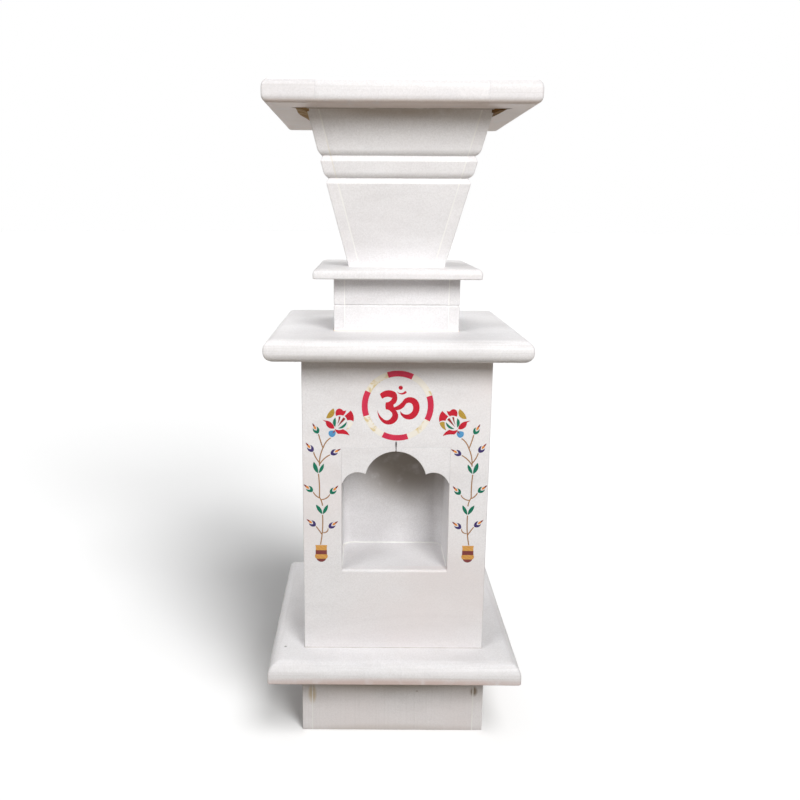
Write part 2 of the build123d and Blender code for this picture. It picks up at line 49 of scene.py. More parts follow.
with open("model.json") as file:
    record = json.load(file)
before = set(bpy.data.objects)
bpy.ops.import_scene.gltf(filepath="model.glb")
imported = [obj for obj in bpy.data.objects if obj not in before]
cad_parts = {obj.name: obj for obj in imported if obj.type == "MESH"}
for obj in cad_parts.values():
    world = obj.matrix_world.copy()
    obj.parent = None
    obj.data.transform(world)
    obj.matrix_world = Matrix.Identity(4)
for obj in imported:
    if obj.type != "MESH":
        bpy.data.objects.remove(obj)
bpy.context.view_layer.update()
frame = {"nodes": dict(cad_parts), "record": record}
BODY = "root"
MM = 0.001


# ---- Places read from the construction ----
def low_high(node):
    """Lowest and highest corner of a construction node, as two arrays."""
    low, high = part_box(node)
    return np.array(low), np.array(high)


PEDESTAL_LOW, PEDESTAL_HIGH = low_high("pedestal_front")
PEDESTAL_HALF = PEDESTAL_HIGH[0]
BOARD = PEDESTAL_HIGH[1] - PEDESTAL_LOW[1]
NICHE_FLOOR = low_high("niche_floor")[1][2]
NICHE_HALF = low_high("arch_plate")[1][0]
SLIT_MIDDLE = low_high("arch_plate")[1][2] + 3.0 * MM
CHEEK_LOW, CHEEK_HIGH = low_high("niche_left")
NICHE_BACK = low_high("niche_back")[1][1] - (CHEEK_HIGH[0] - CHEEK_LOW[0])
NICHE_CORNER = NICHE_BACK - CHEEK_HIGH[1]
POT_LOW, POT_HIGH = low_high("pot_right")
POT_TOP_HALF = POT_HIGH[0]
POT_WALL = POT_TOP_HALF - low_high("pot_front")[1][0]
POT_BASE_HALF = POT_LOW[0] + POT_WALL
NECK_HALF = low_high("neck_left")[1][1]
PLINTH_HALF = low_high("plinth_left")[1][1]
PLINTH_TOP = low_high("plinth_left")[1][2]
TABLE_TOP = low_high("table_slab")[1][2]
NECK_TOP, COLLAR_TOP = (low_high("collar_slab")[i][2] for i in (0, 1))


# ---- What a user would change ----
def length_property(name, default, description):
    """A length."""
    return FloatProperty(name=name, description=description, default=default, unit="LENGTH")


def angle_property(name, degrees, description):
    """An angle, its default given in degrees."""
    return FloatProperty(name=name, description=description, default=radians(degrees), unit="ROTATION")


def number_property(name, default, description):
    """A plain number."""
    return FloatProperty(name=name, description=description, default=default)


def colour_property(name, default, description):
    """A colour."""
    return FloatVectorProperty(name=name, description=description, default=default, size=3, subtype="COLOR")


class StoneSizes(PropertyGroup):
    """How far the mason worked the stone beyond its plain sawn form."""

    arris: length_property("Arris", 1.1 * MM, "Round on the long edges of a board")
    end_arris: length_property("End arris", 0.45 * MM, "Round on the ends of a board")
    slab_corner: length_property("Slab corner", 3.0 * MM, "Plan radius of a slab's corners")
    nose_fullness: number_property(
        "Nose fullness", 2.15, "Exponent of a slab's round edge: 2 is a part of a circle"
    )
    rim_foot_round: length_property("Rim foot round", 8.5 * MM, "Round of the rim's lower edge")
    rim_fullness: number_property("Rim fullness", 2.55, "The same exponent for the rim, which is squarer")
    base_slab_round: length_property("Base slab round", 16.0 * MM, "Round of the base slab's upper edge")
    collar_round: length_property("Collar round", 7.0 * MM, "Round of the collar's upper edge")
    foot_round: length_property("Foot round", 2.0 * MM, "Round of the lower edge of base slab and collar")
    drain_radius: length_property("Drain radius", 7.0 * MM, "Radius of the hole in the collar")
    joint_arris: length_property("Joint arris", 0.35 * MM, "Round where two rim boards meet")
    inlay_ease: length_property("Inlay ease", 0.16 * MM, "Bevel along the edge of every inlaid stone")
    hand_polish: length_property("Hand polish", 0.35 * MM, "How far polished faces stray inwards")
    pot_line_height: length_property("Pot line height", 12.5 * MM, "Height of each line cut round the pot")
    pot_line_depth: length_property("Pot line depth", 4.7 * MM, "Depth of each line cut round the pot")
    pot_line_drops: FloatVectorProperty(
        name="Pot line drops",
        description="Middles of the two lines below the pot's top",
        default=(47.0 * MM, 70.5 * MM),
        size=2,
        unit="LENGTH",
    )
    glue_width: length_property("Glue width", 24.0 * MM, "How far glue spreads beside the pot's front corner")
    glue_depth: length_property("Glue depth", 5.0 * MM, "How far glue hangs below the rim")
    filler_leg: length_property("Filler leg", 1.3 * MM, "How far joint filler spreads on each face")
    step: length_property("Step", 5.0 * MM, "Spacing of a surface's points")


class StoneColours(PropertyGroup):
    """Colours of the stones and of the joint filler."""

    marble: colour_property("Marble", (0.83, 0.822, 0.832), "White marble")
    marble_cloud: colour_property("Marble cloud", (0.69, 0.675, 0.683), "Grey cloud in the marble")
    filler: colour_property("Filler", (0.86, 0.85, 0.83), "White joint filler")
    old_filler: colour_property("Old filler", (0.52, 0.47, 0.44), "Filler greyed by dust")
    resin: colour_property("Resin", (0.83, 0.73, 0.64), "Warm glue in the neck's foot")
    glue: colour_property("Glue", (0.45, 0.33, 0.20), "Glue under the rim, on the left")
    dark_glue: colour_property("Dark glue", (0.17, 0.10, 0.05), "Glue under the rim, on the right")
    red: colour_property("Red", (0.58, 0.012, 0.032), "Red stone of om and petals")
    ring_red: colour_property("Ring red", (0.66, 0.035, 0.085), "Rose red of the ring")
    cream: colour_property("Cream", (0.87, 0.83, 0.75), "Shell of the ring")
    gold: colour_property("Gold", (0.50, 0.33, 0.055), "Golden petal")
    green: colour_property("Green", (0.005, 0.20, 0.11), "Green of leaves and buds")
    purple: colour_property("Purple", (0.055, 0.035, 0.16), "Dark purple of buds")
    orange: colour_property("Orange", (0.78, 0.30, 0.06), "Orange of bud tips")
    dark_red: colour_property("Dark red", (0.26, 0.02, 0.015), "Bud points and stamens")
    tan: colour_property("Tan", (0.40, 0.20, 0.075), "Stems")
    ochre: colour_property("Ochre", (0.72, 0.38, 0.10), "Pot of the vine")
    maroon: colour_property("Maroon", (0.24, 0.055, 0.05), "Bands of the vine's pot")
    pearl: colour_property("Pearl", (0.88, 0.87, 0.85), "Pearl slips in the flower")
    blue: colour_property("Blue", (0.10, 0.33, 0.60), "Calyx of the flower")


class StudioValues(PropertyGroup):
    """The camera's place and the levels of the lamps."""

    camera_place: FloatVectorProperty(
        name="Camera",
        description="Where the camera stands",
        default=(-0.0355, -0.9951, 0.6269),
        size=3,
        unit="LENGTH",
    )
    camera_down: angle_property("Down", 12.73, "How far the camera looks down")
    camera_roll: angle_property("Roll", 0.30, "How far the camera leans")
    lens: number_property("Lens", 36.07, "Focal length in millimetres")
    lens_shift: FloatVectorProperty(
        name="Lens shift",
        description="Shift of the frame to the right and up",
        default=(0.0432, -0.0056),
        size=2,
    )
    world_level: number_property("World", 0.01, "Strength of the room's light")
    key_level: number_property("Key", 35.8, "Power of the softbox in front, right, in watts")
    left_level: number_property("Left", 19.3, "Power of the softbox on the left in watts")
    back_level: number_property("Back", 24.0, "Power of the softbox behind in watts")
    floor_low_level: number_property("Low floor light", 1.9, "Strength of the low light on the floor")
    floor_high_level: number_property("High floor light", 1.58, "Strength of the high light on the floor")
    floor_top_level: number_property("Top floor light", 0.85, "Strength of the light above the floor")
    floor_side: angle_property("Side of floor light", 30, "How far the floor lights stand to the right")
    floor_softness: angle_property("Floor softness", 28, "How wide the low and the high light are")
    floor_top_softness: angle_property("Top floor softness", 80, "How wide the light above is")


def sizes():
    """The stone sizes of the scene."""
    return bpy.context.scene.vrindavan_sizes


def colour(name):
    """One of the scene's stone colours, with full alpha."""
    return (*getattr(bpy.context.scene.vrindavan_colours, name), 1.0)


# ---- Shader arithmetic ----
class Value:
    """A socket that takes part in Python arithmetic: every operation adds one Math node."""

    def __init__(self, recipe, socket):
        self.recipe = recipe
        self.socket = socket

    def _math(self, operation, first, second):
        node = self.recipe.add("ShaderNodeMath", {0: first, 1: second}, operation=operation)
        return Value(self.recipe, node.outputs[0])

    def __add__(self, other):
        return self._math("ADD", self, other)

    __radd__ = __add__

    def __sub__(self, other):
        return self._math("SUBTRACT", self, other)

    def __rsub__(self, other):
        return self._math("SUBTRACT", other, self)

    def __mul__(self, other):
        return self._math("MULTIPLY", self, other)

    __rmul__ = __mul__

    def __abs__(self):
        return self._math("ABSOLUTE", self, 0.0)

    def within(self, low, high):
        """0 below low, 1 above high, and a smooth rise between."""
        settings = {"interpolation_type": "SMOOTHSTEP", "clamp": True}
        node = self.recipe.add("ShaderNodeMapRange", {0: self, 1: low, 2: high, 3: 0.0, 4: 1.0}, **settings)
        return Value(self.recipe, node.outputs[0])


class Recipe:
    """The node sheet of a material or of the world."""

    def __init__(self, owner):
        owner.use_nodes = True
        self.owner = owner
        self.tree = owner.node_tree
        self.tree.nodes.clear()

    def add(self, kind, inputs=None, **settings):
        """Add a node: its settings first, then the value or link of each socket."""
        node = self.tree.nodes.new(kind)
        for name, value in settings.items():
            setattr(node, name, value)
        for key, value in (inputs or {}).items():
            socket = node.inputs[key]
            if isinstance(value, Value):
                value = value.socket
            if isinstance(value, bpy.types.NodeSocket):
                self.tree.links.new(value, socket)
            else:
                socket.default_value = value
        return node

    def place(self, shift=(0, 0, 0), turn=(0, 0, 0), stretch=(1, 1, 1)):
        """Object coordinates, shifted, turned and stretched so that each board has a figure of its own."""
        straight = self.add("ShaderNodeTexCoord").outputs["Object"]
        inputs = {"Vector": straight, "Location": shift, "Rotation": turn, "Scale": stretch}
        return self.add("ShaderNodeMapping", inputs).outputs["Vector"]

    def noise(self, place, scale, detail=2.0, roughness=0.5, distortion=0.0):
        """Smooth noise from 0 to 1."""
        inputs = {
            "Vector": place,
            "Scale": scale,
            "Detail": detail,
            "Roughness": roughness,
            "Distortion": distortion,
        }
        return Value(self, self.add("ShaderNodeTexNoise", inputs).outputs[0])

    def cells(self, place, scale, output="Distance"):
        """Cell pattern: the distance to the nearest cell, or another output."""
        node = self.add("ShaderNodeTexVoronoi", {"Vector": place, "Scale": scale})
        return Value(self, node.outputs[output])

    def spot(self, place, centre, radii):
        """1 near the middle of an ellipsoid, fading to 0 at its surface."""
        aside = self.add("ShaderNodeVectorMath", {0: place, 1: centre}, operation="SUBTRACT").outputs[0]
        share = self.add("ShaderNodeVectorMath", {0: aside, 1: radii}, operation="DIVIDE").outputs[0]
        length = self.add("ShaderNodeVectorMath", {0: share}, operation="LENGTH").outputs["Value"]
        return 1.0 - Value(self, length).within(0.3, 1.0)

    def mix(self, first, second, factor, blend="MIX"):
        """A colour between two colours, or with the blend MULTIPLY their product."""
        settings = {"data_type": "RGBA", "blend_type": blend}
        return self.add("ShaderNodeMix", {0: factor, 6: first, 7: second}, **settings).outputs[2]

    def bump(self, height, strength, distance):
        """A normal disturbed by a height."""
        inputs = {"Strength": strength, "Distance": distance, "Height": height}
        return self.add("ShaderNodeBump", inputs).outputs[0]

    def seen(self):
        """1 where the camera looks, straight or by a gloss, and 0 for light that only bounces."""
        path = self.add("ShaderNodeLightPath").outputs
        inputs = {0: path["Is Camera Ray"], 1: path["Is Glossy Ray"]}
        return self.add("ShaderNodeMath", inputs, operation="MAXIMUM").outputs[0]

    def finish(self, base, roughness, normal, constants=None):
        """The surface itself, with its constants set straight on its sockets; returns the material."""
        inputs = {"Base Color": base, "Roughness": roughness, "Normal": normal, **(constants or {})}
        surface = self.add("ShaderNodeBsdfPrincipled", inputs)
        self.add("ShaderNodeOutputMaterial", {"Surface": surface.outputs[0]})
        return self.owner


# ---- Materials ----
# Colours of stains, of painted shade, and of uneven stone and filler
# Painted shade under the slabs, under the rim and along the plinth's foot
SHADE_TINT = (0.42, 0.34, 0.26, 1.0)
# Painted shade in the upper part of the niche
NICHE_SHADE = (0.38, 0.34, 0.30, 1.0)
# A warm tint with painted shade for the base slab's lower round
WARM_TINT_AND_SHADE = (0.60, 0.44, 0.39, 1.0)
# A dusty tint with painted shade for the rim's underside
PALE_DUST_AND_SHADE = (0.74, 0.60, 0.52, 1.0)
GOLDEN_STAIN = (0.58, 0.46, 0.28, 1.0)
BROWN_STAIN = (0.22, 0.15, 0.09, 1.0)
GREY_SPECK = (0.40, 0.34, 0.30, 1.0)
PIT = (0.25, 0.24, 0.23, 1.0)
# Painted shade inside the narrow slit
SLIT_SHADE = (0.05, 0.04, 0.03, 1.0)
WARM_MARBLE = (0.81, 0.745, 0.735, 1.0)
SAW_MARK = (0.56, 0.535, 0.525, 1.0)
DIRTY_FILLER = (0.62, 0.56, 0.47, 1.0)
FRESH_FILLER = (0.90, 0.89, 0.87, 1.0)
WHITE = (1.0, 1.0, 1.0, 1.0)
# How closely the saw's fine streaks follow each other along x, y and z, per metre, and their strength
LEVEL_SAWING = ((5.0, 5.0, 420.0), 0.42)
UPRIGHT_SAWING = ((340.0, 340.0, 7.0), 0.15)


def painted_shade_at(level, half, strength, reach=11.0 * MM):
    """Painted shade: a darker band in the corner where the front of a box meets a slab above it or the
    ground, given as marks for marble.
    """
    return [((0.0, -half, level), (half * 1.3, 14.0 * MM, reach), SHADE_TINT, strength)]


def marble(node, shift, turn, tone, polish=0.42, warmth=0.15, marks=(), sawing=None):
    """White marble: soft grey clouds, faint veins along a bedding direction, and a sugary grain of small
    crystals. Tone is how grey it is, and warmth how pink in patches. Each mark is a stain, a pit, or a patch
    of
    painted shade: centre, radii, colour and strength."""
    recipe = Recipe(bpy.data.materials.new(f"marble_{node}"))
    place = recipe.place(shift, (0.35, 0.2, turn))
    drawn = recipe.place(shift, (0.5, 0.25, turn + 0.4), (1.0, 1.0, 3.2))
    clouds = recipe.noise(drawn, 6.5, 5.0, 0.58, 0.6)
    blotches = recipe.noise(place, 42.0, 4.0, 0.6)
    grain = recipe.noise(place, 420.0, 2.0, 0.6)
    crystals = recipe.cells(place, 780.0, output="Color")
    wander = recipe.noise(drawn, 4.2, 4.0, 0.6, 1.4)
    vein = 1.0 - abs(wander - 0.5).within(0.0, 0.022)
    cloudy = clouds.within(0.38, 0.78) * 0.62 + (blotches - 0.5) * 0.34 + (grain - 0.5) * 0.30 + tone
    cloudy = cloudy + vein * recipe.noise(place, 9.0, 2.0).within(0.45, 0.75) * 0.14
    base = recipe.mix(colour("marble"), colour("marble_cloud"), cloudy)
    sparkle = recipe.mix((0.93, 0.925, 0.92, 1.0), (1.05, 1.05, 1.05, 1.0), crystals)
    base = recipe.mix(base, sparkle, 1.0, "MULTIPLY")
    warm = recipe.noise(place, 4.5, 3.0, 0.5).within(0.35, 0.75) * warmth
    base = recipe.mix(base, WARM_MARBLE, warm)
    if sawing:
        closeness, strength = sawing
        streaks = recipe.noise(recipe.place(shift, stretch=closeness), 1.0, 3.0, 0.6).within(0.45, 0.75)
        base = recipe.mix(base, SAW_MARK, streaks * strength)
    for centre, radii, shade, strength in marks:
        uneven = recipe.noise(place, 60.0, 3.0).within(0.05, 0.5)
        base = recipe.mix(base, shade, recipe.spot(recipe.place(), centre, radii) * uneven * strength)
    rough = blotches * 0.16 + grain * 0.10 + (polish - 0.13)
    height = recipe.noise(place, 60.0, 3.0, 0.5) * 0.7 + grain * 0.12
    normal = recipe.bump(height, 0.22, 0.6 * MM)
    constants = {
        "Subsurface Weight": 0.12,
        "Subsurface Radius": (1.0, 0.92, 0.85),
        "Subsurface Scale": 3.0 * MM,
        "Specular IOR Level": 0.2,
    }
    return recipe.finish(base, rough, normal, constants)


def joint_filler(name, shade):
    """White cement or resin wiped into a joint: chalky, a little uneven, with some dirt held in it."""
    recipe = Recipe(bpy.data.materials.new(name))
    place = recipe.place()
    patches = recipe.noise(place, 55.0, 4.0, 0.6)
    dirt = recipe.noise(place, 14.0, 3.0, 0.6).within(0.52, 0.78)
    base = recipe.mix(colour(shade), DIRTY_FILLER, dirt * 0.45)
    base = recipe.mix(base, FRESH_FILLER, patches.within(0.5, 0.7) * 0.4)
    normal = recipe.bump(recipe.noise(place, 900.0, 3.0), 0.3, 0.2 * MM)
    return recipe.finish(base, patches * 0.2 + 0.62, normal)


def glue(name, shade, second):
    """Old brown glue, dull with dust, thin in some places and thick in others."""
    recipe = Recipe(bpy.data.materials.new(name))
    patches = recipe.noise(recipe.place(), 60.0, 4.0, 0.6)
    base = recipe.mix(colour(shade), second, patches.within(0.4, 0.62))
    normal = recipe.bump(patches, 0.3, 0.5 * MM)
    return recipe.finish(base, patches * 0.2 + 0.75, normal, {"Specular IOR Level": 0.08})


def inlay_stone(name, shade, second, scale, banded):
    """Polished inlaid stone: two shades in clouds or bands, a tint that changes from stone to stone, and fine
    pits. Shell is near white with golden patches."""
    recipe = Recipe(bpy.data.materials.new(name))
    place = recipe.place((0.13, 0.0, 0.31), (0.3, 0.9, 0.5))
    stones = recipe.noise(recipe.place(), 24.0, 1.0)
    clouds = recipe.noise(place, scale, 4.0, 0.62, 0.8)
    wave = {"Vector": place, "Scale": scale * 1.7, "Distortion": 5.0, "Detail": 3.0, "Detail Scale": 1.6}
    bands = Value(recipe, recipe.add("ShaderNodeTexWave", wave).outputs[1])
    if shade == "cream":
        share = clouds.within(0.5, 0.62) * 0.9
    else:
        share = (clouds.within(0.3, 0.72) * (1.0 - banded) + bands * banded) * 0.62
    base = recipe.mix(colour(shade), second, share + (stones - 0.5) * 0.5)
    pits = recipe.cells(place, 1400.0).within(0.02, 0.16)
    base = recipe.mix(second, base, pits * 0.35 + 0.65)
    rough = clouds * 0.12 + 0.2
    constants = {"Coat Weight": 0.08, "Specular IOR Level": 0.22}
    return recipe.finish(base, rough, recipe.bump(clouds, 0.12, 0.15 * MM), constants)


# ---- Surfaces ----
def unit_outline(across_steps, along_steps):
    """A rectangle with round corners, told apart from its size: for each point its share of the way across
    and along, and how many corner radii it lies inwards from there in x and in y."""
    across, along, in_x, in_y = [], [], [], []
    quarter = np.linspace(0.0, pi / 2, 5)
    for side, steps in enumerate((across_steps, along_steps, across_steps, along_steps)):
        t = np.linspace(0.0, 1.0, steps + 1)[1:-1]
        zero = np.zeros_like(t)
        corner = quarter + side * pi / 2 - pi / 2
        ones = np.ones_like(corner)
        corner_x, corner_y = ((1, 0), (1, 1), (0, 1), (0, 0))[side]
        run = ((t, zero), (zero + 1, t), (1 - t, zero + 1), (zero, 1 - t))[side]
        spread = 1 - 2 * t
        inward = ((spread, zero), (zero, spread), (-spread, zero), (zero, -spread))[side]
        across += [run[0], ones * corner_x]
        along += [run[1], ones * corner_y]
        in_x += [inward[0], np.cos(corner) + (-1 if corner_x else 1)]
        in_y += [inward[1], np.sin(corner) + (-1 if corner_y else 1)]
    return [np.concatenate(part) for part in (across, along, in_x, in_y)]


def outline_rings(x0, x1, y0, y1, z, radius, steps, east_radius=None):
    """One ring of points for each level: the unit outline, stretched to that level's rectangle and corner
    radius. The east corners may have a radius of their own."""
    across, along, in_x, in_y = unit_outline(*steps)
    east_radius = radius if east_radius is None else east_radius
    values = (x0, x1, y0, y1, z, radius, east_radius)
    x0, x1, y0, y1, z, radius, east_radius = (
        np.broadcast_to(np.asarray(value, float), np.shape(z))[:, None] for value in values
    )
    radius = radius + (east_radius - radius) * across
    x = x0 + (x1 - x0) * across + radius * in_x
    y = y0 + (y1 - y0) * along + radius * in_y
    return np.stack([x, y, np.broadcast_to(z, x.shape)], axis=-1)


GOLDEN_ANGLE = 2.399963


def waves_at(points, lengths, phase):
    """A smooth uneven value from 0 to 1 at each point: the mean of sine waves of several lengths that run in
    directions spread by the golden angle."""
    total = np.zeros(points.shape[:-1])
    for i, length in enumerate(lengths):
        turn = GOLDEN_ANGLE * (i + 1) + phase
        direction = np.array([cos(turn), sin(turn), 0.7 * cos(1.7 * turn)])
        total += np.sin(points @ direction * (2 * pi / length) + phase * (i + 2))
    return 0.5 + 0.5 * total / len(lengths)


def stray_inwards(points, amount):
    """Draw points towards the planter's upright middle line by a smooth uneven amount, which fades away
    within 20 mm of that line."""
    drawn = waves_at(points, (0.046, 0.071, 0.113, 0.19), 1.3)[..., None] * amount
    aside = points * [1.0, 1.0, 0.0]
    length = np.maximum(np.abs(aside).max(axis=-1, keepdims=True), 1e-6)
    return points - aside / length * drawn * np.minimum(1.0, length / 0.02)


def placed(name, mesh, material):
    """An object for a mesh with one material, in the scene and riding on the one body."""
    mesh.materials.clear()
    mesh.materials.append(material)
    piece = bpy.data.objects.new(name, mesh)
    bpy.context.scene.collection.objects.link(piece)
    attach(piece, BODY)
    return piece


def skin(name, rings, material, closed=False, smooth_angle=38.0, slot="white_marble"):
    """A piece from rings of points: neighbouring rings are joined by quads, doubles are merged, faces point
    out, and all but the sharp edges are shaded smooth."""
    count, around = rings.shape[:2]
    rows = np.arange(count if closed else count - 1)[:, None]
    columns = np.arange(around)[None, :]
    after, beside = (rows + 1) % count, (columns + 1) % around
    corners = ((rows, columns), (rows, beside), (after, beside), (after, columns))
    faces = np.stack([row * around + column for row, column in corners], axis=-1).reshape(-1, 4)
    mesh = bpy.data.meshes.new(name)
    mesh.from_pydata(rings.reshape(-1, 3).tolist(), [], faces.tolist())
    work = bmesh.new()
    work.from_mesh(mesh)
    bmesh.ops.remove_doubles(work, verts=work.verts, dist=0.004 * MM)
    bmesh.ops.dissolve_degenerate(work, edges=work.edges, dist=0.002 * MM)
    bmesh.ops.recalc_face_normals(work, faces=work.faces)
    work.to_mesh(mesh)
    work.free()
    mesh.shade_smooth()
    mesh.set_sharp_from_angle(angle=radians(smooth_angle))
    piece = placed(name, mesh, material)
    return piece


def stone_skin(node, rings, material, **finish):
    """A marble piece from rings of points, in the place of a construction node."""
    piece = skin(f"{node}_stone", rings, material, **finish)
    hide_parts(node)


def filled_rings(rings, steps):
    """Rings closed at both ends: the end rings shrink evenly onto the middle line of their own box."""

    def to_middle(ring):
        low, high = ring.min(axis=0), ring.max(axis=0)
        middle, half = (low + high) / 2, (high - low) / 2
        reach = np.maximum(half - half[:2].min(), 0.0)
        flat = middle + np.clip(ring - middle, -reach, reach)
        flat[:, 2] = ring[:, 2]
        share = (np.arange(1, steps + 1) / steps)[:, None, None]
        return ring[None] * (1 - share) + flat[None] * share

    return np.concatenate([to_middle(rings[0])[::-1], rings, to_middle(rings[-1])])


def pointed_rings(rings):
    """Rings closed at both ends by the middle point of the end ring."""
    first, last = (np.broadcast_to(ring.mean(axis=0), ring.shape)[None] for ring in (rings[0], rings[-1]))
    return np.concatenate([first, rings, last])


def round_profile(radius, count):
    """Insets and rises of a quarter round, from the drawn-in start to the full face."""
    angle = np.linspace(0.0, pi / 2, count + 1)
    return radius * (1 - np.sin(angle)), radius * (1 - np.cos(angle))


def steps_for(low, high):
    """How many steps an outline takes across and along a box."""
    return tuple(max(2, round((high[i] - low[i]) / sizes().step)) for i in (0, 1))


def board(node, material):
    """An upright board: a stack of equal rectangles with round corners, drawn in a little at both ends."""
    low, high = low_high(node)
    inset, rise = round_profile(sizes().end_arris, 3)
    inner = np.arange(low[2] + rise[-1], high[2] - rise[-1], sizes().step)[1:]
    z = np.concatenate([low[2] + rise, inner, high[2] - rise[::-1]])
    draw = np.concatenate([inset, np.zeros_like(inner), inset[::-1]])
    sides = (low[0] + draw, high[0] - draw, low[1] + draw, high[1] - draw)
    rings = outline_rings(*sides, z, sizes().arris, steps_for(low, high))
    stone_skin(node, filled_rings(stray_inwards(rings, sizes().hand_polish * 0.6), 3), material)


def slab_rings(node, round_sides, corners, fullness, upper=None, lower=None):
    """Rings of a slab lying flat. A round side has a quarter superellipse above and one below, each over half
    the thickness unless its radius is given: |x|^n + |z|^n = r^n, where n is the fullness. Any other side has
    small arrises. Sides are west, east, south, north; corners are the plan radii in the west and the east."""
    low, high = low_high(node)
    all_over = (high[2] - low[2]) / 2 - 0.25 * MM
    angle = np.linspace(0.0, pi / 2, 15)
    inset = 1 - np.sin(angle) ** (2 / fullness)
    rise = 1 - np.cos(angle) ** (2 / fullness)
    upper, lower = upper or all_over, lower or all_over
    z = np.concatenate([low[2] + lower * rise, high[2] - upper * rise[::-1]])
    rounded = np.concatenate([lower * inset, upper * inset[::-1]])
    small = sizes().joint_arris
    from_face = np.minimum(z - low[2], high[2] - z)
    eased = small - np.sqrt(np.maximum(small**2 - np.maximum(small - from_face, 0.0) ** 2, 0.0))
    draw = [rounded if is_round else eased for is_round in round_sides]
    west, east = (np.maximum(corner - rounded * 0.15, 0.3 * MM) for corner in corners)
    sides = (low[0] + draw[0], high[0] - draw[1], low[1] + draw[2], high[1] - draw[3])
    rings = outline_rings(*sides, z, west, steps_for(low, high), east)
    return stray_inwards(rings, sizes().hand_polish)


def ring_onto_circle(ring, radius):
    """Rings that run in even steps from an outline's ring to a circle round the middle, point for point."""
    middle = (ring.min(axis=0) + ring.max(axis=0)) / 2
    aside = ring - middle
    turn = np.arctan2(aside[:, 1], aside[:, 0])
    circle = middle + np.stack([radius * np.cos(turn), radius * np.sin(turn), aside[:, 2] * 0], axis=-1)
    share = np.linspace(0.1, 1.0, 10)[:, None, None]
    return ring[None] * (1 - share) + circle[None] * share


def copied_piece(node, material, ease):
    """A copy of a construction node whose solid is right: welded, flat faces joined, sharp edges eased."""
    work = bmesh.new()
    work.from_mesh(frame["nodes"][node].data)
    bmesh.ops.remove_doubles(work, verts=work.verts, dist=0.002 * MM)
    bmesh.ops.dissolve_limit(work, angle_limit=radians(0.4), verts=work.verts, edges=work.edges)
    name = f"{node}_stone"
    mesh = bpy.data.meshes.new(name)
    work.to_mesh(mesh)
    work.free()
    mesh.shade_smooth()
    mesh.set_sharp_from_angle(angle=radians(30))
    piece = placed(name, mesh, material)
    bevel = piece.modifiers.new("ease", "BEVEL")
    bevel.width = ease
    bevel.segments = 2
    bevel.limit_method = "ANGLE"
    bevel.angle_limit = radians(30)
    weighted = piece.modifiers.new("weighted normals", "WEIGHTED_NORMAL")
    weighted.weight = 100
    weighted.keep_sharp = True
    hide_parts(node)


# ---- Operators: one for each group of pieces ----
class VRINDAVAN_OT_slabs(Operator):
    """Add the base slab, the table slab and the thin collar, with their rounded edges"""

    bl_idname = "vrindavan.slabs"
    bl_label = "Slabs"

    def execute(self, context):
        size = sizes()
        pit = ((-0.1315, -0.1065, PEDESTAL_LOW[2]), (2.2 * MM, 2.2 * MM, 1.6 * MM), PIT, 0.9)
        # A warm tint with painted shade along the base slab's lower round at the front
        warm_shaded_nose = ((0.0, -0.150, PLINTH_TOP), (0.26, 12.0 * MM, 12.0 * MM), WARM_TINT_AND_SHADE, 0.75)
        slabs = {
            "base_slab": (size.base_slab_round, size.foot_round, (pit, warm_shaded_nose)),
            "table_slab": (None, None, ()),
            "collar_slab": (size.collar_round, size.foot_round, ()),
        }
        corners = (size.slab_corner, size.slab_corner)
        for number, (node, (upper, lower, marks)) in enumerate(slabs.items()):
            rings = slab_rings(node, (True,) * 4, corners, size.nose_fullness, upper, lower)
            shift = (3.1 + number, 0.7, 0.2)
            material = marble(node, shift, 0.3 + number, -0.12, marks=marks, sawing=LEVEL_SAWING)
            holed = node == "collar_slab"
            if holed:
                over, under = (ring_onto_circle(rings[end], size.drain_radius) for end in (-1, 0))
                rings = np.concatenate([under[::-1], rings, over])
            else:
                rings = filled_rings(rings, 30)
            stone_skin(node, rings, material, closed=holed)
        return {"FINISHED"}


class VRINDAVAN_OT_rim(Operator):
    """Add the four rim boards, round outside and eased at the mouth and at their joints"""

    bl_idname = "vrindavan.rim"
    bl_label = "Rim"

    def execute(self, context):
        rounds = {
            "left": (True, False, True, True),
            "right": (False, True, True, True),
            "front": (False, False, True, False),
            "back": (False, False, False, True),
        }
        size = sizes()
        # A pale dusty tint with painted shade over the rim's underside
        shaded_underside = ((0.0, 0.0, POT_HIGH[2]), (0.5, 0.5, 5.0 * MM), PALE_DUST_AND_SHADE, 0.6)
        for number, (side, round_sides) in enumerate(rounds.items()):
            node = f"rim_{side}"
            corners = [size.slab_corner if is_outer else 0.0 for is_outer in round_sides[:2]]
            rings = slab_rings(node, round_sides, corners, size.rim_fullness, lower=size.rim_foot_round)
            shift, turn = (1.9 * number, 4.0, 1.0), 1.57 * (number % 2)
            material = marble(node, shift, turn, 0.7, marks=[shaded_underside], sawing=LEVEL_SAWING)
            stone_skin(node, filled_rings(rings, 8), material)
        return {"FINISHED"}


